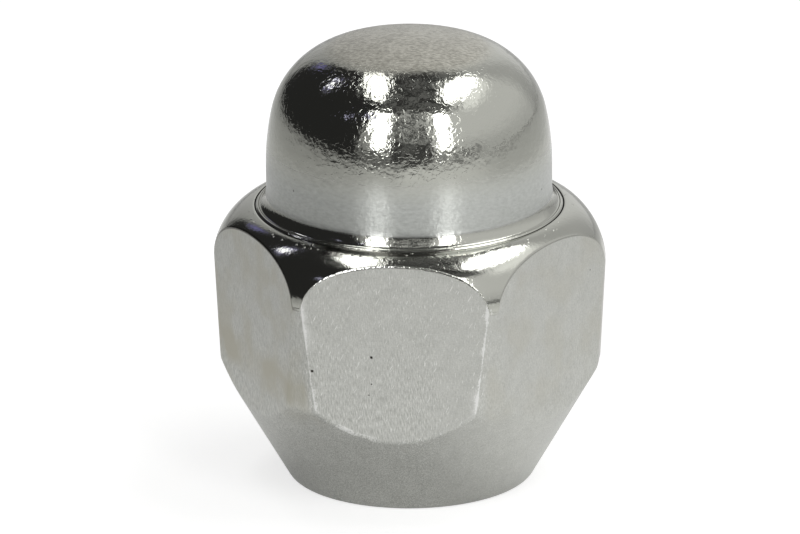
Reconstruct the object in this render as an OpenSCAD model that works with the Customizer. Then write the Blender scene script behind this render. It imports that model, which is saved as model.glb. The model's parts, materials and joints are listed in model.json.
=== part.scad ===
// Closed-end lug nut: a hex body with a cone seat and a threaded hole, and a dome cap pressed into its top.
// The axis is Z, the dome is up, and the origin is the centre of the flat end below the seat cone.

/* [Hex body] */
// Width across the flats
hex_af = 21; // [20.5:0.5:23]
// Length turned off each hex corner at the shoulder
corner_trim = 0.2; // [0.05:0.05:0.5]
// How much nearer the axis the turned corners are at the seat cone than at the shoulder
corner_lean = 0.36; // [0.2:0.04:0.6]
// Height at which the corners start to round over
shoulder_z = 13.7; // [12.5:0.05:15]
// Radius of the rounded shoulder
shoulder_r = 3.62; // [3.5:0.02:4.5]
// Width of the flat rim between the shoulder and the cap
rim_land = 0.12; // [0.08:0.02:0.3]

/* [Seat cone] */
// Included angle of the seat
seat_angle = 60; // [56:1:64]
// Diameter of the flat end below the cone
seat_end_d = 14.8; // [14.2:0.1:15.4]
// Height of the broken edge at the flat end
seat_edge = 0.3; // [0.1:0.05:0.4]

/* [Thread] */
// Nominal diameter of the thread
thread_d = 12; // [10:0.5:12.5]
// Pitch of the thread
thread_pitch = 1.5; // [1.25:0.25:1.75]
// How far each countersink reaches past the nominal diameter, on the radius
countersink_over = 0.2; // [0.1:0.05:0.3]

/* [Dome cap] */
// Outer diameter of the cap's straight wall
dome_d = 17.36; // [16.8:0.04:17.6]
// Thickness of the pressed sheet
sheet_t = 1; // [0.7:0.1:1.2]
// Radius of the hollow curve between the wall and the foot
foot_fillet = 0.67; // [0.4:0.01:0.8]
// Radius of the bend inside the foot
foot_bend = 0.9; // [0.6:0.05:1.2]
// Height of the straight wall above the rim
wall_h = 2.75; // [1.5:0.05:4]
// Radius of the slow curve above the wall
side_r = 15; // [13:0.5:18]
// Angle that the slow curve turns through
side_turn = 12.5; // [8:0.5:16]
// Radius of the tight curve at the dome's corner
round_r = 5.3; // [4.6:0.1:6]
// Radius of the crown
crown_r = 22; // [17:1:30]
// Gap between the foot and the recess that it is pressed into
foot_gap = 0.04; // [0.02:0.01:0.08]

/* [Hidden] */
$fn = 96;
CHROME = [0.70, 0.71, 0.69];
// A cutter reaches this far past the face that it opens.
past = 1;

// Radii of the cap's foot and of the recess that holds it
dome_r = dome_d / 2;
foot_r = dome_r + foot_fillet;
recess_r = foot_r + foot_gap;

// The hex and the turned form that trims it
hex_corner_r = hex_af / 2 / cos(30);
corner_r = hex_corner_r - corner_trim;
seat_end_r = seat_end_d / 2;
seat_slope = tan(seat_angle / 2);
seat_top_r = corner_r - corner_lean;
seat_h = (seat_top_r - seat_end_r) / seat_slope;
shoulder_proud = 0.01;
shoulder_cx = corner_r + shoulder_proud - shoulder_r;
rim_z = shoulder_z + sqrt(pow(shoulder_r, 2) - pow(recess_r + rim_land - shoulder_cx, 2));
recess_z = rim_z - sheet_t;

// A basic 60 degree thread has its inner diameter 1.0825 pitches under the nominal one.
thread_minor_r = (thread_d - 1.0825 * thread_pitch) / 2;
countersink_r = thread_d / 2 + countersink_over;
countersink_h = countersink_r - thread_minor_r;

// The dome's three arcs run into one another: side, corner, then crown. The crown is centred on the axis.
wall_z = rim_z + wall_h;
side_cx = dome_r - side_r;
round_cx = side_cx + (side_r - round_r) * cos(side_turn);
round_cz = wall_z + (side_r - round_r) * sin(side_turn);
crown_cz = round_cz - sqrt(pow(crown_r - round_r, 2) - pow(round_cx, 2));
round_end = atan2(round_cz - crown_cz, round_cx);
bend_cx = dome_r - sheet_t + foot_bend;

// Half section of the form that the hex is turned to: seat cone, leaning corners, round shoulder.
// The shoulder's circle stands a little proud of the corner's end, so the two cross and don't just touch.
module turned_section() {
    polygon([
        [0, 0],
        [seat_end_r - seat_edge, 0],
        [seat_end_r + seat_edge * seat_slope, seat_edge],
        [seat_top_r, seat_h],
        [corner_r, shoulder_z],
        [0, shoulder_z]
    ]);
    translate([0, shoulder_z - past])
        square([shoulder_cx, rim_z - shoulder_z + past]);
    intersection() {
        translate([shoulder_cx, shoulder_z])
            circle(shoulder_r);
        translate([0, shoulder_z - past])
            square([corner_r + past, rim_z - shoulder_z + past]);
    }
}

// Points of an arc after its first one, from one angle to another
function arc(centre, r, from, to, steps) =
    [for (i = [1 : steps], a = from + (to - from) * i / steps) centre + r * [cos(a), sin(a)]];

function reversed(points) = [for (i = [len(points) - 1 : -1 : 0]) points[i]];

// Half outline of the dome from the top of its wall to the axis, pulled in everywhere by inset
function dome_path(inset) = concat(
    [[dome_r - inset, wall_z]],
    arc([side_cx, wall_z], side_r - inset, 0, side_turn, 6),
    arc([round_cx, round_cz], round_r - inset, side_turn, round_end, 24),
    arc([0, crown_cz], crown_r - inset, round_end, 90, 8)
);

// Outside of the cap: the foot's edge, the hollow curve above it, the wall and the dome
function cap_outside() = concat(
    [[foot_r, recess_z], [foot_r, rim_z]],
    arc([foot_r, rim_z + foot_fillet], foot_fillet, 270, 180, 8),
    dome_path(0)
);

// Inside of the cap: the bend at the foot, the wall and the dome
function cap_inside() = concat(
    [[bend_cx, recess_z]],
    arc([bend_cx, recess_z + foot_bend], foot_bend, 270, 180, 8),
    dome_path(sheet_t)
);

module nut_body() {
    color(CHROME)
    difference() {
        intersection() {
            cylinder(h = rim_z + past, r = hex_corner_r, $fn = 6);
            rotate_extrude()
                turned_section();
        }
        // Hole at the thread's inner diameter, opened by a countersink at each end
        translate([0, 0, -past])
            cylinder(h = rim_z + 2 * past, r = thread_minor_r);
        translate([0, 0, -past])
            cylinder(h = past + countersink_h, r1 = countersink_r + past, r2 = thread_minor_r);
        translate([0, 0, recess_z - countersink_h])
            cylinder(h = countersink_h + past, r1 = thread_minor_r, r2 = countersink_r + past);
        // Recess for the cap's foot
        translate([0, 0, recess_z])
            cylinder(h = sheet_t + past, r = recess_r);
    }
}

module dome_cap() {
    color(CHROME)
    rotate_extrude()
        polygon(concat(cap_outside(), reversed(cap_inside())));
}

nut_body();
dome_cap();
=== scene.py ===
"""Looks of a closed-end lug nut: a chromed hex body with a cone seat and a chromed dome cap in its top.

Everything is in metres, in the frame of the CAD part: +Z up, the flat end below the seat on the floor.
"""
import json
import math

import bpy
from mathutils import Matrix, Vector


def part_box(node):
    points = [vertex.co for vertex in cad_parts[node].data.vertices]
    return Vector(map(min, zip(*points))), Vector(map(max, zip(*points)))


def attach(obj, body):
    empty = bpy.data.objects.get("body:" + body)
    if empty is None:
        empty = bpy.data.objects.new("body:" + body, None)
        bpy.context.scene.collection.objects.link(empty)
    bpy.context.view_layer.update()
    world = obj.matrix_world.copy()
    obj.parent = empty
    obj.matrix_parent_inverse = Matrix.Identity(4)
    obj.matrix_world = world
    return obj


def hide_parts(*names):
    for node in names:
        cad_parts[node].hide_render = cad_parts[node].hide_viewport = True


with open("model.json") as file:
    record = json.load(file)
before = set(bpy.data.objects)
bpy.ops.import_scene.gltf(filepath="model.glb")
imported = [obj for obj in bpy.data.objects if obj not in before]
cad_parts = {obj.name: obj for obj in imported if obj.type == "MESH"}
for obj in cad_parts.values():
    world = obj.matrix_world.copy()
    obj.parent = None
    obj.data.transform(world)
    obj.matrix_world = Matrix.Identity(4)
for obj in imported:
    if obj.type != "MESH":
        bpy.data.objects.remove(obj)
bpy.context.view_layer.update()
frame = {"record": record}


# Nut body: a steel blank, cold formed to a hex with a cone seat below and a round shoulder above. It is bored
# and tapped right through, recessed on top for the cap, and chrome plated. Its edges are worn round.
MM = 0.001
body_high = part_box("nut_body")[1]
cap_low, cap_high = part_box("dome_cap")
stud_thread = next(m for m in frame["record"]["mounts"] if m["name"] == "stud_thread")
sides = 6
# The looks stay this much inside the CAD's outermost faces
hair = 0.001 * MM
# Points nearer to each other than this become one
weld = 0.001 * MM
flat_r = body_high.y - hair
corner_r = body_high.x - hair
corner_lean = 0.37 * MM
shoulder_z = 13.7 * MM
shoulder_r = 3.62 * MM
shoulder_cx = corner_r - shoulder_r
rim_z = body_high.z
rim_land = 0.12 * MM
recess_z = cap_low.z
foot_gap = 0.04 * MM
recess_r = cap_high.x + foot_gap
seat_slope = math.tan(math.radians(30))
seat_end_r = 7.4 * MM
seat_edge = 0.3 * MM
seat_top_r = corner_r - corner_lean
seat_h = (seat_top_r - seat_end_r) / seat_slope
bore_r = stud_thread["dims"]["r_mm"] * MM
thread_r = 6.0 * MM
thread_pitch = 1.5 * MM
countersink_r = thread_r + 0.2 * MM
countersink_h = countersink_r - bore_r
# How far a worn edge reaches to each side, and the blend of two radii where a flat meets a turned corner
edge_reach = 0.11 * MM
knee_reach = 0.22 * MM
corner_knee_reach = 0.6 * MM
edge_blend = 0.05 * MM
wear_reach = 0.35 * MM
rim_reach = 0.05 * MM
seam_depth = 0.12 * MM
# A row of points this far from an edge keeps the face beyond it flat
support = 0.06 * MM
# How bright a flat's lower and upper edges are worn, and how satin its upper edge is
lower_edge_wear = 0.75
upper_edge_wear = 0.55
upper_edge_satin = 0.3
# Columns from the middle of a flat to its edge, and from there to the hex corner; points along each stretch
flat_columns = 18
corner_columns = 8
edge_points = 6
cone_points = 7
side_points = 9
shoulder_points = 18
rim_points = 3


def smooth_min(a, b, blend):
    """The lesser of two radii, with the step between them worn round over the blend."""
    near = max(blend - abs(a - b), 0.0) / blend
    return min(a, b) - near * near * blend / 4


def corner_at(z):
    """Radius of the turned corner, which leans out from the seat cone up to the shoulder."""
    share = min(max((z - seat_h) / (shoulder_z - seat_h), 0.0), 1.0)
    return seat_top_r + corner_lean * share


def column_angle(step, z):
    """Angle of a column from the middle of its flat: step 1 is the flat's edge, step 2 the hex corner."""
    edge = math.acos(flat_r / corner_at(z))
    if abs(step) <= 1:
        return step * edge
    return math.copysign(edge + (abs(step) - 1) * (math.pi / sides - edge), step)


def side_r(step, z):
    """Radius of the hex side on a column at one height."""
    return smooth_min(flat_r / math.cos(column_angle(step, z)), corner_at(z), edge_blend)


def spread(first, last, count):
    """Evenly spaced points of (radius, height) from the first to the last, both included."""
    return [first.lerp(last, i / (count - 1)) for i in range(count)]


def worn_edge(before, knee, after, count):
    """Points strictly between two points, on the curve that rounds the knee between them."""
    shares = [i / (count + 1) for i in range(1, count + 1)]
    return [before.lerp(knee, t).lerp(knee.lerp(after, t), t) for t in shares]


def arc_point(centre, radius, angle):
    """Point of a circle at an angle."""
    return centre + radius * Vector((math.cos(angle), math.sin(angle)))


def body_column(step):
    """Closed half section of the body on one column: points of (radius, height), how satin, how worn."""
    lower_r = smooth_min(flat_r / math.cos(column_angle(step, 0)), seat_top_r, edge_blend)
    lower = Vector((lower_r, (lower_r - seat_end_r) / seat_slope))
    upper_r = smooth_min(flat_r / math.cos(column_angle(step, rim_z)), corner_r, edge_blend)
    upper_turn = math.acos(min((upper_r - shoulder_cx) / shoulder_r, 1.0))
    centre = Vector((shoulder_cx, shoulder_z))
    upper = arc_point(centre, shoulder_r, upper_turn)
    rim_turn = math.acos((recess_r + rim_land - shoulder_cx) / shoulder_r)
    on_flat = abs(step) <= 1
    ridge = math.exp(-abs(abs(step) - 1) * flat_r / 2 / wear_reach)
    rows = []

    def add(points, satin, worn):
        rows.extend((point, satin, worn) for point in points)

    # The flat end, its rounded edge and the seat cone
    foot = Vector((seat_end_r - seat_edge, 0))
    heel = Vector((seat_end_r + seat_edge * seat_slope, seat_edge))
    up_cone = (lower - heel).normalized()
    add([Vector((bore_r, countersink_h)), Vector((countersink_r, 0))], 1, 0)
    add([foot - Vector((support, 0)), foot], 1, 0)
    add(worn_edge(foot, Vector((seat_end_r, 0)), heel, edge_points), 1, 0)
    knee = knee_reach + (corner_knee_reach - knee_reach) * max(abs(step) - 1, 0)
    cone_end = lower - up_cone * knee
    add(spread(heel, cone_end - up_cone * support, cone_points), 1, 0)
    # The edge between cone and side, then the side
    side_start = Vector((side_r(step, lower.y + knee), lower.y + knee))
    side_end = Vector((side_r(step, upper.y - edge_reach), upper.y - edge_reach))
    add([cone_end], 1, 0)
    add(worn_edge(cone_end, lower, side_start, edge_points), 1, lower_edge_wear * on_flat)
    add([side_start], 1, max(ridge, lower_edge_wear * on_flat))
    heights = spread(side_start + Vector((0, support)), side_end - Vector((0, support)), side_points)
    add([Vector((side_r(step, p.y), p.y)) for p in heights], 1, ridge)
    # The edge between side and shoulder, then the shoulder up to the rim
    turn_start = upper_turn + edge_reach / shoulder_r
    turn_end = rim_turn - rim_reach / shoulder_r
    shoulder_start = arc_point(centre, shoulder_r, turn_start)
    add([side_end], 1, ridge)
    add(worn_edge(side_end, upper, shoulder_start, edge_points), upper_edge_satin, upper_edge_wear * on_flat)
    add([shoulder_start], 0, 0)
    turn_step = (turn_end - turn_start) / shoulder_points
    turns = [turn_start + support / shoulder_r]
    turns += [turn_start + turn_step * i for i in range(1, shoulder_points + 1)]
    add([arc_point(centre, shoulder_r, turn) for turn in turns], 0, 0)
    # The rim, the recess for the cap and the top of the hole
    rim_outer = Vector((recess_r + rim_land, rim_z))
    rim_inner = Vector((recess_r + rim_reach, rim_z))
    wall_top = Vector((recess_r, rim_z - seam_depth))
    add(worn_edge(rows[-1][0], rim_outer, rim_inner, rim_points), 0, 0)
    add([rim_inner], 0, 0)
    add(worn_edge(rim_inner, Vector((recess_r, rim_z)), wall_top, rim_points), 0, 0)
    add([wall_top, Vector((recess_r, recess_z)), Vector((countersink_r, recess_z))], 1, 0)
    add([Vector((bore_r, recess_z - countersink_h))], 1, 0)
    return rows


# Columns lie closer together towards the edge of the flat
flat_steps = [1 - ((flat_columns - i) / flat_columns) ** 2 for i in range(flat_columns + 1)]
corner_steps = [1 + (i / corner_columns) ** 2 for i in range(1, corner_columns + 1)]
half_steps = flat_steps + corner_steps
steps = [-step for step in reversed(half_steps[1:])] + half_steps
columns = [body_column(step) for step in steps]
# The modelled sector is the one whose flat faces -Y
front_angle = -math.pi / 2
points = []
satins = []
wears = []
for step, column in zip(steps, columns):
    for (out, up), satin, worn in column:
        angle = front_angle + column_angle(step, up)
        points.append((out * math.cos(angle), out * math.sin(angle), up))
        satins.append(satin)
        wears.append(worn)
ring = len(columns[0])
faces = []
for c in range(len(columns) - 1):
    for r in range(ring):
        here = c * ring + r
        above = c * ring + (r + 1) % ring
        faces.append((here, here + ring, above + ring, above))
sector_mesh = bpy.data.meshes.new("nut_body_sector")
sector_mesh.from_pydata(points, [], faces)
for name, values in (("satin", satins), ("worn", wears)):
    sector_mesh.attributes.new(name, "FLOAT", "POINT").data.foreach_set("value", values)


class Wire:
    """An output socket of a node tree. Arithmetic on it adds Math nodes to its tree."""

    def __init__(self, tree, socket):
        self.tree = tree
        self.socket = socket

    def math(self, operation, *terms):
        return self.tree.add("ShaderNodeMath", {"operation": operation}, dict(enumerate(terms)))["Value"]

    def __add__(self, other):
        return self.math("ADD", self, other)

    def __radd__(self, other):
        return self.math("ADD", other, self)

    def __sub__(self, other):
        return self.math("SUBTRACT", self, other)

    def __rsub__(self, other):
        return self.math("SUBTRACT", other, self)

    def __mul__(self, other):
        return self.math("MULTIPLY", self, other)

    def __rmul__(self, other):
        return self.math("MULTIPLY", other, self)

    def __truediv__(self, other):
        return self.math("DIVIDE", self, other)

    def __rtruediv__(self, other):
        return self.math("DIVIDE", other, self)

    def __gt__(self, other):
        return self.math("GREATER_THAN", self, other)

    def rise(self, low, high):
        """0 below low, 1 above high and smooth between."""
        sockets = {"Value": self, "From Min": low, "From Max": high}
        return self.tree.add("ShaderNodeMapRange", {"interpolation_type": "SMOOTHSTEP"}, sockets)["Result"]

    def within(self, low, high, soft):
        """1 between low and high, with soft ends."""
        return self.rise(low - soft, low + soft) * (1 - self.rise(high - soft, high + soft))


class Tree:
    """A node tree that is being wired."""

    def __init__(self, node_tree):
        self.node_tree = node_tree

    def add(self, kind, settings=None, sockets=None):
        """Adds a node, gives it its settings and then its sockets, and returns its outputs by name."""
        node = self.node_tree.nodes.new(kind)
        for name, value in (settings or {}).items():
            setattr(node, name, value)
        for key, value in (sockets or {}).items():
            named = [s for s in node.inputs if s.enabled and s.name == key]
            socket = named[0] if named else node.inputs[key]
            if isinstance(value, Wire):
                self.node_tree.links.new(value.socket, socket)
            else:
                socket.default_value = value
        return {s.name: Wire(self, s) for s in node.outputs if s.enabled}


def shape_tree(name, inputs):
    """A Geometry Nodes tree with its input sockets: the tree, their wires and their identifiers, by name."""
    group = bpy.data.node_groups.new(name, "GeometryNodeTree")
    group.interface.new_socket("Geometry", in_out="INPUT", socket_type="NodeSocketGeometry")
    identifiers = {}
    for label, kind in inputs.items():
        socket = group.interface.new_socket(label, in_out="INPUT", socket_type=kind)
        identifiers[label] = socket.identifier
    group.interface.new_socket("Geometry", in_out="OUTPUT", socket_type="NodeSocketGeometry")
    tree = Tree(group)
    return tree, tree.add("NodeGroupInput"), identifiers


# Edges that turn by more than this stay sharp
crease_angle = math.radians(32)


def finish_tree(tree, geometry, material):
    """Ends a tree: smooth faces with sharp edges, real geometry and its material."""
    crease = tree.add("GeometryNodeInputMeshEdgeAngle")["Unsigned Angle"] > crease_angle
    geometry = tree.add("GeometryNodeSetShadeSmooth", {"domain": "FACE"}, {"Geometry": geometry})["Geometry"]
    sockets = {"Geometry": geometry, "Selection": crease, "Shade Smooth": False}
    geometry = tree.add("GeometryNodeSetShadeSmooth", {"domain": "EDGE"}, sockets)["Geometry"]
    geometry = tree.add("GeometryNodeRealizeInstances", None, {"Geometry": geometry})["Geometry"]
    sockets = {"Geometry": geometry, "Material": material}
    geometry = tree.add("GeometryNodeSetMaterial", None, sockets)["Geometry"]
    tree.add("NodeGroupOutput", None, {"Geometry": geometry})


def made_piece(name, start_mesh, tree, identifiers, values):
    """Runs a tree on a starting mesh and returns the result as a piece with a plain mesh."""
    piece = bpy.data.objects.new(name, start_mesh)
    bpy.context.scene.collection.objects.link(piece)
    modifier = piece.modifiers.new("shape", "NODES")
    modifier.node_group = tree.node_tree
    for label, value in values.items():
        modifier[identifiers[label]] = value
    depsgraph = bpy.context.evaluated_depsgraph_get()
    mesh = bpy.data.meshes.new_from_object(piece.evaluated_get(depsgraph))
    piece.modifiers.remove(modifier)
    piece.data = mesh
    mesh.name = name
    mesh.materials.clear()
    mesh.materials.append(values["Finish"])
    return piece


body_inputs = {
    "Sides": "NodeSocketInt",
    "Thread pitch": "NodeSocketFloat",
    "Thread turns": "NodeSocketFloat",
    "Thread start": "NodeSocketFloat",
    "Steps per turn": "NodeSocketInt",
    "Groove radius": "NodeSocketFloat",
    "Groove depth": "NodeSocketFloat",
    "Groove mouth": "NodeSocketFloat",
    "Groove root": "NodeSocketFloat",
    "Finish": "NodeSocketMaterial",
}
tree, given, identifiers = shape_tree("hex_body_with_thread", body_inputs)
# The six like sectors, turned about the axis and joined along their hex corners
turn = tree.add("GeometryNodeInputIndex")["Index"] * (2 * math.pi / given["Sides"])
turned = tree.add("ShaderNodeCombineXYZ", None, {"Z": turn})["Vector"]
places = tree.add("GeometryNodePoints", None, {"Count": given["Sides"]})["Points"]
sockets = {"Points": places, "Instance": given["Geometry"], "Rotation": turned}
sectors = tree.add("GeometryNodeInstanceOnPoints", None, sockets)["Instances"]
sectors = tree.add("GeometryNodeRealizeInstances", None, {"Geometry": sectors})["Geometry"]
blank = tree.add("GeometryNodeMergeByDistance", None, {"Geometry": sectors, "Distance": weld})["Geometry"]
# The tapped groove: a 60 degree section swept along a right-hand helix and cut out of the bore
sockets = {
    "Resolution": given["Steps per turn"],
    "Rotations": given["Thread turns"],
    "Start Radius": given["Groove radius"],
    "End Radius": given["Groove radius"],
    "Height": given["Thread pitch"] * given["Thread turns"],
    "Reverse": True,
}
helix = tree.add("GeometryNodeCurveSpiral", None, sockets)["Curve"]
helix = tree.add("GeometryNodeSetCurveNormal", {"mode": "Z_UP"}, {"Curve": helix})["Curve"]
sockets = {
    "Height": given["Groove depth"],
    "Bottom Width": given["Groove mouth"],
    "Top Width": given["Groove root"],
    "Offset": 0.0,
}
section = tree.add("GeometryNodeCurvePrimitiveQuadrilateral", {"mode": "TRAPEZOID"}, sockets)["Curve"]
sockets = {"Geometry": section, "Rotation": (0, 0, -math.pi / 2)}
section = tree.add("GeometryNodeTransform", None, sockets)["Geometry"]
sockets = {"Curve": helix, "Profile Curve": section, "Fill Caps": True}
groove = tree.add("GeometryNodeCurveToMesh", None, sockets)["Mesh"]
place = tree.add("ShaderNodeCombineXYZ", None, {"Z": given["Thread start"]})["Vector"]
groove = tree.add("GeometryNodeTransform", None, {"Geometry": groove, "Translation": place})["Geometry"]
settings = {"operation": "DIFFERENCE", "solver": "MANIFOLD"}
tapped = tree.add("GeometryNodeMeshBoolean", settings, {"Mesh 1": blank, "Mesh 2": groove})["Mesh"]
finish_tree(tree, tapped, given["Finish"])

chrome_color = (0.52, 0.525, 0.475, 1)
satin_dark = (0.405, 0.41, 0.382, 1)
satin_light = (0.645, 0.65, 0.615, 1)
warm_color = (0.46, 0.445, 0.375, 1)
worn_color = (0.80, 0.80, 0.78, 1)
# Dark colour of real pits, and of the painted shade in the seams, the groove, along edges and in patches
pit_and_shade_color = (0.05, 0.045, 0.04, 1)
mirror_roughness = 0.08
body_relief = 0.014 * MM
# Pits in the front flat's plating, as the photograph shows them: across, up and radius, in millimetres
front_pits = ((-5.02, 9.85, 0.11), (-1.43, 10.8, 0.10), (-1.43, 9.1, 0.05), (-1.6, 8.4, 0.05))
# Scattered pits and beads of plating: how many cells of each there are to a millimetre
pit_cells = 0.8
bead_cells = 2.4


def grain(tree, point, period, detail=2.0, stretch=(1, 1, 1), lean=0):
    """Noise from 0 to 1 on a point in millimetres, with that period, stretched along axes that may lean."""
    sockets = {"Vector": point, "Axis": (0, 1, 0), "Angle": math.radians(lean)}
    point = tree.add("ShaderNodeVectorRotate", {"rotation_type": "AXIS_ANGLE"}, sockets)["Vector"]
    sockets = {0: point, 1: tuple(1 / s for s in stretch)}
    point = tree.add("ShaderNodeVectorMath", {"operation": "MULTIPLY"}, sockets)["Vector"]
    sockets = {"Vector": point, "Scale": 1 / period, "Detail": detail}
    return tree.add("ShaderNodeTexNoise", None, sockets)["Fac"]


def blend_colors(tree, factor, a, b):
    """The first colour where the factor is 0 and the second where it is 1."""
    return tree.add("ShaderNodeMix", {"data_type": "RGBA"}, {"Factor": factor, "A": a, "B": b})["Result"]


def from_axis(tree, point):
    """Distance of a point from the nut's axis."""
    level = tree.add("ShaderNodeVectorMath", {"operation": "MULTIPLY"}, {0: point, 1: (1, 1, 0)})["Vector"]
    return tree.add("ShaderNodeVectorMath", {"operation": "LENGTH"}, {0: level})["Value"]


def pit_at(tree, point, centre, radius):
    """A pit of that radius around a point: 1 in its middle and 0 outside."""
    away = tree.add("ShaderNodeVectorMath", {"operation": "DISTANCE"}, {0: point, 1: centre})["Value"]
    return 1 - away.rise(0.5 * radius, radius)


def plating(name):
    """A new material: its tree, the point on the piece in millimetres, and itself."""
    material = bpy.data.materials.new(name)
    material.use_nodes = True
    material.node_tree.nodes.clear()
    tree = Tree(material.node_tree)
    sockets = {0: tree.add("ShaderNodeTexCoord")["Object"], "Scale": 1 / MM}
    point = tree.add("ShaderNodeVectorMath", {"operation": "SCALE"}, sockets)["Vector"]
    return tree, point, material


def chrome(tree, color, roughness, height, depth, drawn=0.0):
    """Chrome plate of that colour and roughness, with relief of that depth and lines drawn round the axis."""
    normal = tree.add("ShaderNodeBump", None, {"Height": height, "Distance": depth})["Normal"]
    sockets = {
        "Base Color": color,
        "Roughness": roughness,
        "Metallic": 1.0,
        "Normal": normal,
        "Anisotropic": drawn,
        "Anisotropic Rotation": 0.25,
    }
    return tree.add("ShaderNodeBsdfPrincipled", None, sockets)["BSDF"]


def body_finish():
    """Chrome on the body: a mirror on the shoulder, satin with fine scratches and pits on flats and cone."""
    tree, point, material = plating("chrome_on_hex_body")
    satin = tree.add("ShaderNodeAttribute", {"attribute_name": "satin"})["Fac"]
    worn = tree.add("ShaderNodeAttribute", {"attribute_name": "worn"})["Fac"]
    mirror = 1 - satin
    at = tree.add("ShaderNodeSeparateXYZ", None, {"Vector": point})
    out = from_axis(tree, point)
    flat = flat_r / MM
    rim = rim_z / MM
    recess = recess_r / MM
    upright = grain(tree, point, 0.05, detail=1, stretch=(1, 1, 8), lean=6)
    leaning = grain(tree, point, 0.07, detail=1, stretch=(1, 1, 10), lean=-28)
    lumps = grain(tree, point, 0.24, detail=1)
    sand = grain(tree, point, 0.10)
    patches = grain(tree, point, 0.9, detail=3)
    stains = grain(tree, point, 2.6)
    ripple = grain(tree, point, 0.30)
    # The flats that face front and back have been rubbed; the others are only satin
    facing = at["Y"].math("ABSOLUTE", at["Y"]).rise(flat - 0.35, flat - 0.05)
    # Pits: scattered ones in a fifth of the cells away from the rubbed flats, and the front flat's own
    cells = tree.add("ShaderNodeTexVoronoi", None, {"Vector": point, "Scale": pit_cells})
    pick = tree.add("ShaderNodeSeparateColor", None, {"Color": cells["Color"]})["Red"]
    pits = (1 - cells["Distance"].rise(0.02, 0.05)) * (pick > 0.8) * (1 - facing)
    for across, up, size in front_pits:
        pits = pits + pit_at(tree, point, (across, -flat, up), size)
    pits = satin * pits
    # Painted shade in the seam round the cap, small beads of plating along it (relief only), and painted dark
    # patches on the shoulder between the beads, in front and to the left, that darken its reflection there
    painted_seam_shade = at["Z"].rise(rim - 0.3, rim - 0.2) * (1 - out.rise(recess + 0.01, recess + 0.045))
    spots = tree.add("ShaderNodeTexVoronoi", None, {"Vector": point, "Scale": bead_cells})["Distance"]
    beads = (1 - spots.rise(0.03, 0.25)) * out.within(recess, recess + 0.6, soft=0.1) * mirror
    # Painted shade: a dark patch on the front of the shoulder, and another to its left
    middle = out.within(recess + 0.06, recess + 0.42, soft=0.06) * at["X"].within(-2.4, 3.2, soft=1.0)
    painted_dark_left = out.within(recess + 0.06, recess + 0.8, soft=0.1) * at["X"].within(-4.5, -3.2, soft=0.4)
    painted_dark_patches = 0.8 * (middle + painted_dark_left) * (1 - at["Y"].rise(-8.5, -7.5)) * mirror * (1 - beads)
    # Rubbed edges are bright in places. The rub is wide high on the left and low on the right, and the lower
    # right edge is whole.
    left = 1 - at["X"].rise(-0.5, 0.5)
    high = at["Z"].rise(10.6, 12.4)
    low = 1 - at["Z"].rise(8.2, 9.8)
    wide = (left * high + (1 - left) * low) * (worn + 0.6 * (patches - 0.5)).rise(0.2, 0.8)
    narrow = (worn + 0.9 * (patches - 0.5) + 0.5 * (sand - 0.5)).rise(0.66, 0.94)
    whole = at["X"].within(0.2, 4.6, soft=0.6) * (1 - at["Z"].rise(7.6, 8.6))
    rubbed = facing * (1 - whole) * (0.85 * narrow + 0.45 * wide)
    # Scratches: bright marks, and a fine upright grain that is strongest low on the left
    marks = facing * (upright.rise(0.68, 0.74) + leaning.rise(0.67, 0.73))
    scratched = (0.5 + 0.5 * (1 - at["Z"].rise(7, 13))) * (1 - 0.6 * at["X"].rise(1.5, 3.5))
    shade = 0.5 + 0.9 * (sand - 0.5) + 2.6 * scratched * (upright - 0.5) + 0.5 * (patches - 0.5)
    plate = blend_colors(tree, shade, satin_dark, satin_light)
    # Warm stains on the flats that aren't rubbed, most of all low on the left
    low_stain = left * at["Z"].within(7.6, 9.4, soft=0.8) * (0.5 + 0.5 * stains.rise(0.3, 0.6))
    stained = (0.3 + 0.3 * left) * stains.rise(0.42, 0.68) + 0.7 * low_stain
    plate = blend_colors(tree, (1 - facing) * at["Z"].rise(5.5, 7.5) * stained, plate, warm_color)
    color = blend_colors(tree, satin, chrome_color, plate)
    color = blend_colors(tree, 0.8 * marks + rubbed, color, worn_color)
    edge = 4 * satin * mirror
    # Painted shade along the upper edges of the flats that aren't rubbed, darkest on the left where less
    # light falls
    painted_edge_shade = edge * (1 - facing) * (0.1 + 0.6 * left)
    # The colour darkens to the pit colour in the pits, and where shade is painted: the seam, the upper edges
    # and the shoulder's dark patches
    color = blend_colors(tree, pits + 0.9 * painted_seam_shade + painted_edge_shade + painted_dark_patches, color, pit_and_shade_color)
    roughness = mirror_roughness + satin * (0.22 + 0.10 * patches)
    # Relief: the shoulder ripples most in front, and the rubbed edges are lumpy
    rippled = mirror * (0.4 + 0.8 * at["X"].within(-1.0, 3.0, soft=0.7))
    height = (1.3 * ripple + 0.5 * sand) * rippled + satin * (0.5 * upright + 0.4 * sand)
    height = height + 3 * facing * edge * lumps + 2.8 * beads - 3 * pits
    surface = chrome(tree, color, roughness, height, body_relief)
    tree.add("ShaderNodeOutputMaterial", None, {"Surface": surface})
    return material


# The groove's section starts inside the bore's wall, and the helix runs past both ends of the hole
groove_root = thread_pitch / 8
groove_inner_r = bore_r - 0.25 * MM
groove_mouth = groove_root + 2 * (thread_r - groove_inner_r) * math.tan(math.radians(30))
thread_start = -2 * thread_pitch
values = {
    "Sides": sides,
    "Thread pitch": thread_pitch,
    "Thread turns": math.ceil((recess_z - 2 * thread_start) / thread_pitch),
    "Thread start": thread_start,
    "Steps per turn": 96,
    "Groove radius": (thread_r + groove_inner_r) / 2,
    "Groove depth": thread_r - groove_inner_r,
    "Groove mouth": groove_mouth,
    "Groove root": groove_root,
    "Finish": body_finish(),
}
nut_body = made_piece("hex_body", sector_mesh, tree, identifiers, values)
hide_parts("nut_body")
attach(nut_body, "root")


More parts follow.
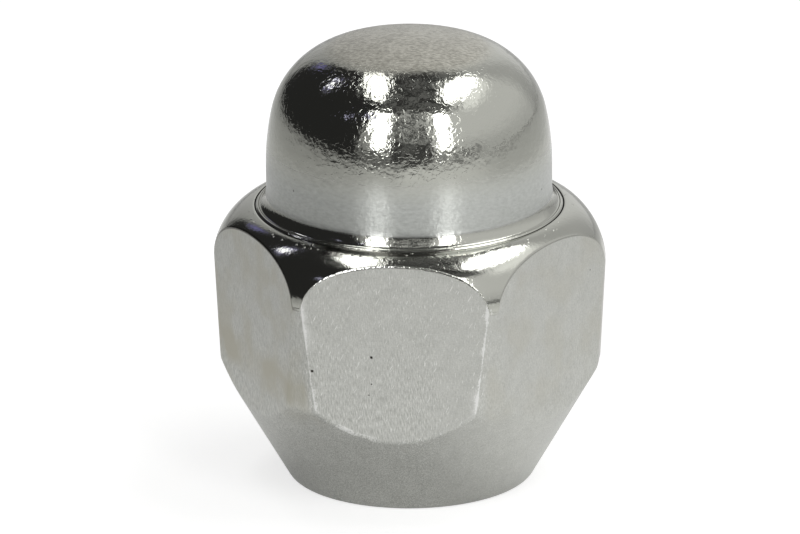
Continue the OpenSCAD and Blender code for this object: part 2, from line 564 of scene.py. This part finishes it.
# Dome cap: one pressing of thin steel, whose wall flares slowly into a turned-out foot with a fine bead round
# it. It is chrome plated, and pressed into the recess in the body's top, where a fine seam shows round the
# foot. The stud's end has room inside it.
foot_r = cap_high.x
dome_r = 8.68 * MM
sheet = 1.0 * MM
flare_radius = 1.45 * MM
flare_turn = math.radians(40)
foot_fillet = 0.22 * MM
foot_bend = 0.9 * MM
foot_edge = 0.03 * MM
bead_width = 0.14 * MM
bead_rise = 0.09 * MM
groove_width = 0.06 * MM
groove_depth = 0.04 * MM
wall_z = rim_z + 2.75 * MM
side_radius = 15.0 * MM
side_turn = math.radians(12.5)
round_radius = 5.3 * MM
crown_radius = 22.0 * MM
side_centre = Vector((dome_r - side_radius, wall_z))
round_centre = arc_point(side_centre, side_radius - round_radius, side_turn)
crown_drop = math.sqrt((crown_radius - round_radius) ** 2 - round_centre.x ** 2)
crown_centre = Vector((0, round_centre.y - crown_drop))
round_end = math.atan2(crown_drop, round_centre.x)
# Points along each stretch of the section, and steps round the axis
fillet_points = 6
flare_points = 14
bend_points = 8
bead_points = 4
wall_points = 6
dome_side_points = 8
round_points = 28
crown_points = 14
steps_round = 180


def arc(centre, radius, start, end, count):
    """Points of an arc after its first one."""
    return [arc_point(centre, radius, start + (end - start) * i / count) for i in range(1, count + 1)]


def dome_path(inset):
    """Half section of the dome from the top of its wall to the axis, pulled in everywhere by the inset."""
    path = [Vector((dome_r - inset, wall_z))]
    path += arc(side_centre, side_radius - inset, 0, side_turn, dome_side_points)
    path += arc(round_centre, round_radius - inset, side_turn, round_end, round_points)
    path += arc(crown_centre, crown_radius - inset, round_end, math.pi / 2, crown_points)
    return path


# Outside: the foot's side, the bead on its rim, the groove behind that, the fillet, the flare, wall and dome
foot_side = Vector((foot_r, rim_z - seam_depth))
bead_outer = Vector((foot_r - foot_edge, rim_z))
bead_top = bead_outer + Vector((-bead_width / 2, bead_rise))
bead_inner = bead_outer + Vector((-bead_width, bead_rise))
groove_low = bead_inner - Vector((groove_width / 2, groove_depth))
fillet_x = dome_r + flare_radius - (flare_radius - foot_fillet) * math.cos(flare_turn)
fillet_start = -math.acos((bead_inner.x - groove_width - fillet_x) / foot_fillet)
fillet_centre = Vector((fillet_x, bead_inner.y - foot_fillet * math.sin(fillet_start)))
fillet_foot = arc_point(fillet_centre, foot_fillet, fillet_start)
flare_centre = arc_point(fillet_centre, flare_radius - foot_fillet, flare_turn)
outside = [Vector((foot_r, recess_z)), foot_side]
outside += worn_edge(foot_side, Vector((foot_r, rim_z)), bead_outer, bead_points)
outside += [bead_outer] + worn_edge(bead_outer, bead_top, bead_inner, bead_points)
outside += [bead_inner, groove_low, fillet_foot]
outside += arc(fillet_centre, foot_fillet, fillet_start, flare_turn - math.pi, fillet_points)
outside += arc(flare_centre, flare_radius, flare_turn - math.pi, -math.pi, flare_points)
outside += spread(outside[-1], Vector((dome_r, wall_z)), wall_points)[1:-1] + dome_path(0)
# Inside: the bend at the foot, wall and dome
bend_centre = Vector((dome_r - sheet + foot_bend, recess_z + foot_bend))
inside = [Vector((bend_centre.x, recess_z))]
inside += arc(bend_centre, foot_bend, -math.pi / 2, -math.pi, bend_points)
inside += dome_path(sheet)
# The section runs from the top of the dome down its outside, round the foot and up its inside. It lies flat
# for the sweep: X is the distance outwards from the wall, and Y runs down.
cap_section = outside[::-1] + inside
flat_section = [(p.x - dome_r, -p.y, 0) for p in cap_section]
section_edges = [(i, i + 1) for i in range(len(flat_section) - 1)]
cap_mesh = bpy.data.meshes.new("cap_section")
cap_mesh.from_pydata(flat_section, section_edges, [])

cap_inputs = {
    "Wall radius": "NodeSocketFloat",
    "Steps round": "NodeSocketInt",
    "Finish": "NodeSocketMaterial",
}
tree, given, identifiers = shape_tree("revolved_cap", cap_inputs)
sockets = {"Radius": given["Wall radius"], "Resolution": given["Steps round"]}
path = tree.add("GeometryNodeCurvePrimitiveCircle", None, sockets)["Curve"]
section = tree.add("GeometryNodeMeshToCurve", None, {"Mesh": given["Geometry"]})["Curve"]
sockets = {"Curve": path, "Profile Curve": section}
shell = tree.add("GeometryNodeCurveToMesh", None, sockets)["Mesh"]
shell = tree.add("GeometryNodeMergeByDistance", None, {"Geometry": shell, "Distance": weld})["Geometry"]
finish_tree(tree, shell, given["Finish"])

wall_dark = (0.51, 0.525, 0.50, 1)
wall_light = (0.61, 0.625, 0.60, 1)
crown_dark = (0.345, 0.335, 0.285, 1)
crown_light = (0.625, 0.61, 0.535, 1)
wall_roughness = 0.33
wall_drawn = 0.9
dome_relief = 0.017 * MM
wall_relief = 0.015 * MM
# Pits in the wall's plating, as the photograph shows them: places on the cap and radius, in millimetres
wall_pits = (((-6.49, -5.77, 19.67), 0.09), ((-6.40, -5.86, 20.4), 0.05), ((8.27, -2.65, 19.06), 0.08))


def cap_finish():
    """Chrome on the cap: a rippled mirror on its foot and the dome's corner, satin on its wall and crown."""
    tree, point, material = plating("chrome_on_dome_cap")
    up = tree.add("ShaderNodeSeparateXYZ", None, {"Vector": point})["Z"]
    out = from_axis(tree, point)
    wall_low = flare_centre.y / MM - 0.45
    wall_high = wall_z / MM
    top = cap_high.z / MM
    foot = foot_r / MM
    groove_at = groove_low.x / MM
    wall = up.rise(wall_low, wall_low + 0.2) * (1 - up.rise(wall_high - 0.5, wall_high + 1.9))
    crown = up.rise(top - 0.85, top - 0.40)
    streaks = grain(tree, point, 0.12, stretch=(2.2, 1.2, 1))
    patches = grain(tree, point, 1.0, detail=3)
    ripple = grain(tree, point, 0.45, detail=1)
    fine = grain(tree, point, 0.19, detail=1)
    mottle = grain(tree, point, 0.13, detail=3, stretch=(2.5, 2.5, 1))
    fold = grain(tree, point, 0.55)
    creases = 1 - fold.math("ABSOLUTE", fold - 0.5).rise(0, 0.035)
    # The pressed surface: mirror bright, with a streaked crown, and painted shade in the seam and in the
    # foot's groove
    shade = 0.5 + 2.8 * (streaks - 0.5) + 0.9 * (patches - 0.5) + 0.15 * creases
    color = blend_colors(tree, crown, chrome_color, blend_colors(tree, shade, crown_dark, crown_light))
    # Painted shade in the seam round the foot and in the groove behind its bead
    painted_seam_shade = out.rise(foot - 0.045, foot - 0.01)
    groove = out.within(groove_at - 0.02, groove_at + 0.02, soft=0.015)
    color = blend_colors(tree, 0.9 * painted_seam_shade + 0.6 * groove, color, pit_and_shade_color)
    roughness = mirror_roughness + 0.16 * crown * (0.6 + 0.8 * streaks)
    relief = (ripple + 0.4 * fine + 0.13 * creases) * (0.6 + 0.4 * up.rise(wall_low, wall_low + 0.4))
    pressed = chrome(tree, color, roughness, relief + 0.3 * crown * streaks, dome_relief)
    # The wall, drawn to satin lines round the axis, with a few pits
    pits = sum(pit_at(tree, point, centre, size) for centre, size in wall_pits)
    color = blend_colors(tree, 0.5 + 2.4 * (mottle - 0.5), wall_dark, wall_light)
    color = blend_colors(tree, 0.7 * pits, color, pit_and_shade_color)
    lines = ripple + 0.6 * fine + 0.5 * mottle
    drawn = chrome(tree, color, wall_roughness, lines, wall_relief, wall_drawn)
    surface = tree.add("ShaderNodeMixShader", None, {"Fac": wall, 1: pressed, 2: drawn})["Shader"]
    tree.add("ShaderNodeOutputMaterial", None, {"Surface": surface})
    return material


values = {"Wall radius": dome_r, "Steps round": steps_round, "Finish": cap_finish()}
dome_cap = made_piece("domed_cap", cap_mesh, tree, identifiers, values)
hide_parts("dome_cap")
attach(dome_cap, "root")


# Camera: a long lens at the photograph's height and angle, turned a little about its own axis. It stands off
# from one point on the nut's axis and aims at another, a little to the left.
camera_azimuth = math.radians(5.06)
camera_elevation = math.radians(18.71)
camera_distance = 0.76
camera_roll = math.radians(-0.434)
pivot_height = 16.0 * MM
aim_height = 13.0 * MM
aim_left = 0.595 * MM
camera_right = Vector((math.cos(camera_azimuth), math.sin(camera_azimuth), 0))
camera_front = Vector((math.sin(camera_azimuth), -math.cos(camera_azimuth), 0))
camera_back = camera_front * math.cos(camera_elevation) + Vector((0, 0, math.sin(camera_elevation)))
camera_place = Vector((0, 0, pivot_height)) + camera_back * camera_distance
camera_aim = Vector((0, 0, aim_height)) - camera_right * aim_left
lens = bpy.data.cameras.new("camera")
lens.lens = 563.1
lens.sensor_width = 36
camera = bpy.data.objects.new("camera", lens)
look = (camera_aim - camera_place).to_track_quat("-Z", "Y").to_matrix().to_4x4()
camera.matrix_world = Matrix.Translation(camera_place) @ look @ Matrix.Rotation(camera_roll, 4, "Z")
bpy.context.scene.collection.objects.link(camera)
bpy.context.scene.camera = camera
bpy.context.scene.view_settings.view_transform = "Standard"


# Floor: a pale, matt board that the nut stands on. The camera sees it as a white backdrop that keeps the
# nut's shadow. In reflections in the metal it glows with painted light:
# bright in front and to the right, with a painted shadow under the nut, and darker towards the studio's open
# left side.
floor_reach = 1.5
floor_color = (0.52, 0.52, 0.515, 1)
floor_white = 0.65
floor_in_metal = 0.47
white = (1, 1, 1, 1)
black = (0, 0, 0, 1)
# Centre of the painted shadow under the nut, which only reflections see
painted_shadow_centre = camera_right * (-2.5 * MM) + camera_front * (6.0 * MM)
floor_mesh = bpy.data.meshes.new("floor")
corners = [(-floor_reach, -floor_reach, 0), (floor_reach, -floor_reach, 0)]
corners += [(-x, -y, z) for x, y, z in corners]
floor_mesh.from_pydata(corners, [], [(0, 1, 2, 3)])
floor = bpy.data.objects.new("floor", floor_mesh)
bpy.context.scene.collection.objects.link(floor)
board = bpy.data.materials.new("pale_board")
board.use_nodes = True
board.node_tree.nodes.clear()
tree = Tree(board.node_tree)
ray = tree.add("ShaderNodeLightPath")
place = tree.add("ShaderNodeTexCoord")["Object"]
sockets = {0: place, 1: camera_right}
rightwards = tree.add("ShaderNodeVectorMath", {"operation": "DOT_PRODUCT"}, sockets)["Value"]
sockets = {0: place, 1: camera_front}
frontwards = tree.add("ShaderNodeVectorMath", {"operation": "DOT_PRODUCT"}, sockets)["Value"]
sockets = {0: place, 1: painted_shadow_centre}
away = tree.add("ShaderNodeVectorMath", {"operation": "DISTANCE"}, sockets)["Value"]
# Painted light and shadow, seen only in reflections: a painted shadow under the nut, a painted pool of light
# round it that falls off far away, less so straight ahead, and is darker to the left
near = 0.42 + 0.58 * away.rise(0.005, 0.014)
ahead = (frontwards / away).rise(0.2, 0.7)
far = 1 - (0.7 - 0.35 * ahead) * away.rise(0.05, 0.13)
painted_light_pool = (0.43 * rightwards.rise(-0.15, -0.045) + 0.57 * rightwards.rise(-0.045, 0.002)) * near * far
in_metal = (ray["Is Glossy Ray"] + ray["Is Transmission Ray"]) * painted_light_pool
strength = ray["Is Camera Ray"] * floor_white + in_metal * floor_in_metal
matt = tree.add("ShaderNodeBsdfDiffuse", None, {"Color": floor_color})["BSDF"]
glow = blend_colors(tree, strength, black, white)
lit = tree.add("ShaderNodeEmission", None, {"Color": glow, "Strength": 1.0})["Emission"]
surface = tree.add("ShaderNodeAddShader", None, {0: matt, 1: lit})["Shader"]
tree.add("ShaderNodeOutputMaterial", None, {"Surface": surface})
floor_mesh.materials.append(board)


# Studio: a pale tent, open and black on the left, with a dark roof. Two tall lamps stand beside the camera
# and two long ones lie overhead. Directions are in degrees: azimuth from the camera, positive to the right.
tent_left = 0.38
tent_right = 0.80
roof_level = 0.10
open_level = 0.028
halo_level = 0.95
clutter_scale = 10.0
glint_color = (0.36, 0.33, 0.80, 1)
# Small glints on the open side: azimuth, elevation, half width, half height, slope and brightness
glints = (
    (-126, 45.5, 17, 4.5, -0.4, 3.5),
    (-65, 39.5, 3, 4, 0, 2),
    (-46, 47.5, 5, 3, 0, 2.5),
    (-152, 28, 4, 9, 0, 0.25),
)
studio = bpy.data.worlds.new("studio")
studio.use_nodes = True
studio.node_tree.nodes.clear()
tree = Tree(studio.node_tree)
direction = tree.add("ShaderNodeTexCoord")["Generated"]
sockets = {"Vector": direction, "Axis": (0, 0, 1), "Angle": -camera_azimuth}
direction = tree.add("ShaderNodeVectorRotate", {"rotation_type": "AXIS_ANGLE"}, sockets)["Vector"]
along = tree.add("ShaderNodeSeparateXYZ", None, {"Vector": direction})
azimuth = along["X"].math("ARCTAN2", along["X"], 0 - along["Y"]) * math.degrees(1)
elevation = along["Z"].math("ARCSINE", along["Z"]) * math.degrees(1)
sockets = {"Vector": direction, "Scale": clutter_scale, "Detail": 2.0}
clutter = tree.add("ShaderNodeTexNoise", None, sockets)["Fac"].rise(0.44, 0.59)


def turned_to(level, other, share):
    """One level of light turned to another by a share from 0 to 1."""
    return level + share * (other - level)


# The tent is lighter on the right, darker low down at both sides and at the back right
to_side = along["X"].math("ABSOLUTE", along["X"]).rise(0.2, 0.8)
tent = tent_left + (tent_right - tent_left) * along["X"].rise(-0.45, 0.25)
tent = tent * (1 - 0.24 * to_side * (1 - elevation.rise(0, 24)))
tent = tent * (1 - 0.3 * azimuth.within(134, 156, soft=8))
level = turned_to(tent, roof_level * (0.4 + 1.4 * clutter), elevation.rise(48, 58))
# The right overhead lamp's glow on the tent
halo = azimuth.within(68, 138, soft=12) * elevation.rise(39, 58) * (1 - elevation.rise(66, 76))
level = level + halo_level * halo
# The dark, cluttered gap between the front lamps, the dim foot of the tent, and the open side
gap = azimuth.within(-16, 20, soft=3) * elevation.within(1, 64, soft=3)
gap_level = 0.05 + 0.1 * clutter + (0.05 + 0.45 * clutter) * elevation.within(20, 58, soft=5)
level = turned_to(level, gap_level, gap)
skirt = elevation.within(0.5, 5, soft=1) * azimuth.within(-70, 60, soft=10)
level = level * (1 - 0.6 * skirt)
open_side = azimuth.within(-156, -43, soft=3) * elevation.within(0, 62, soft=1.5)
level = turned_to(level, open_level, open_side)
glows = []
cores = []
for middle, height, wide, tall, slope, bright in glints:
    aside = azimuth - middle
    over = (elevation - height - slope * aside) / tall
    aside = aside / wide
    off = aside * aside + over * over
    glows.append(1 - off.rise(0, 1))
    cores.append(bright * (1 - off.rise(0, 0.3)))
glow = sum(glows)
core = sum(cores)
level = level + 0.3 * glow + core
color = blend_colors(tree, glow, white, glint_color)
color = blend_colors(tree, 0.3 * core, color, white)
# The camera itself sees plain white
is_camera = tree.add("ShaderNodeLightPath")["Is Camera Ray"]
level = turned_to(level, 1, is_camera)
color = blend_colors(tree, is_camera, color, white)
sky = tree.add("ShaderNodeBackground", None, {"Color": color, "Strength": level})["Background"]
tree.add("ShaderNodeOutputWorld", None, {"Surface": sky})
bpy.context.scene.world = studio


def toward(azimuth_deg, elevation_deg):
    """Direction from the nut, in degrees from the camera's azimuth and from the horizon."""
    turn = math.radians(azimuth_deg)
    tilt = math.radians(elevation_deg)
    flat = camera_front * math.cos(turn) + camera_right * math.sin(turn)
    return flat * math.cos(tilt) + Vector((0, 0, math.sin(tilt)))


def lamp(name, shape, centre, across, width, length, radiance):
    """A soft lamp of that radiance at a place, its width along one direction, facing the nut."""
    data = bpy.data.lights.new(name, "AREA")
    data.shape = shape
    data.size = width
    data.size_y = length
    fill = math.pi / 4 if shape == "ELLIPSE" else 1
    data.energy = radiance * math.pi * width * length * fill
    out = (centre - across * centre.dot(across) / across.dot(across)).normalized()
    across = across.normalized()
    turn = Matrix((across, out.cross(across), out)).transposed()
    holder = bpy.data.objects.new(name, data)
    holder.matrix_world = Matrix.Translation(centre) @ turn.to_4x4()
    holder.visible_camera = False
    bpy.context.scene.collection.objects.link(holder)


lamp_distance = 0.5
front_radiance = 5.0
roof_radiance = 3.0
# Front lamps: name, then left, right, low and high edges and lean, in degrees
front_lamps = (("left_lamp", -35, -20, 11, 57, 9), ("right_lamp", 26, 38, 10, 54, -5))
for name, left, right, low, high, lean in front_lamps:
    middle = (left + right) / 2
    height = (low + high) / 2
    outward = toward(middle, height)
    across = Matrix.Rotation(math.radians(lean), 3, outward) @ toward(middle + 90, 0)
    width = 2 * lamp_distance * math.tan(math.radians((right - left) / 2)) * math.cos(math.radians(height))
    length = 2 * lamp_distance * math.tan(math.radians((high - low) / 2))
    lamp(name, "RECTANGLE", outward * lamp_distance, across, width, length, front_radiance)
# Overhead lamps: name, then place to the right and to the back, width and length for a roof 1 high, and turn
roof_lamps = (
    ("left_roof_lamp", -0.27, 0.17, 0.22, 0.88, -10),
    ("right_roof_lamp", 0.48, 0.16, 0.36, 0.84, 0),
)
for name, rightward, backward, width, length, turn_deg in roof_lamps:
    centre = camera_right * rightward - camera_front * backward + Vector((0, 0, 1))
    across = Matrix.Rotation(math.radians(turn_deg), 3, "Z") @ camera_right
    width *= lamp_distance
    length *= lamp_distance
    lamp(name, "ELLIPSE", centre * lamp_distance, across, width, length, roof_radiance)
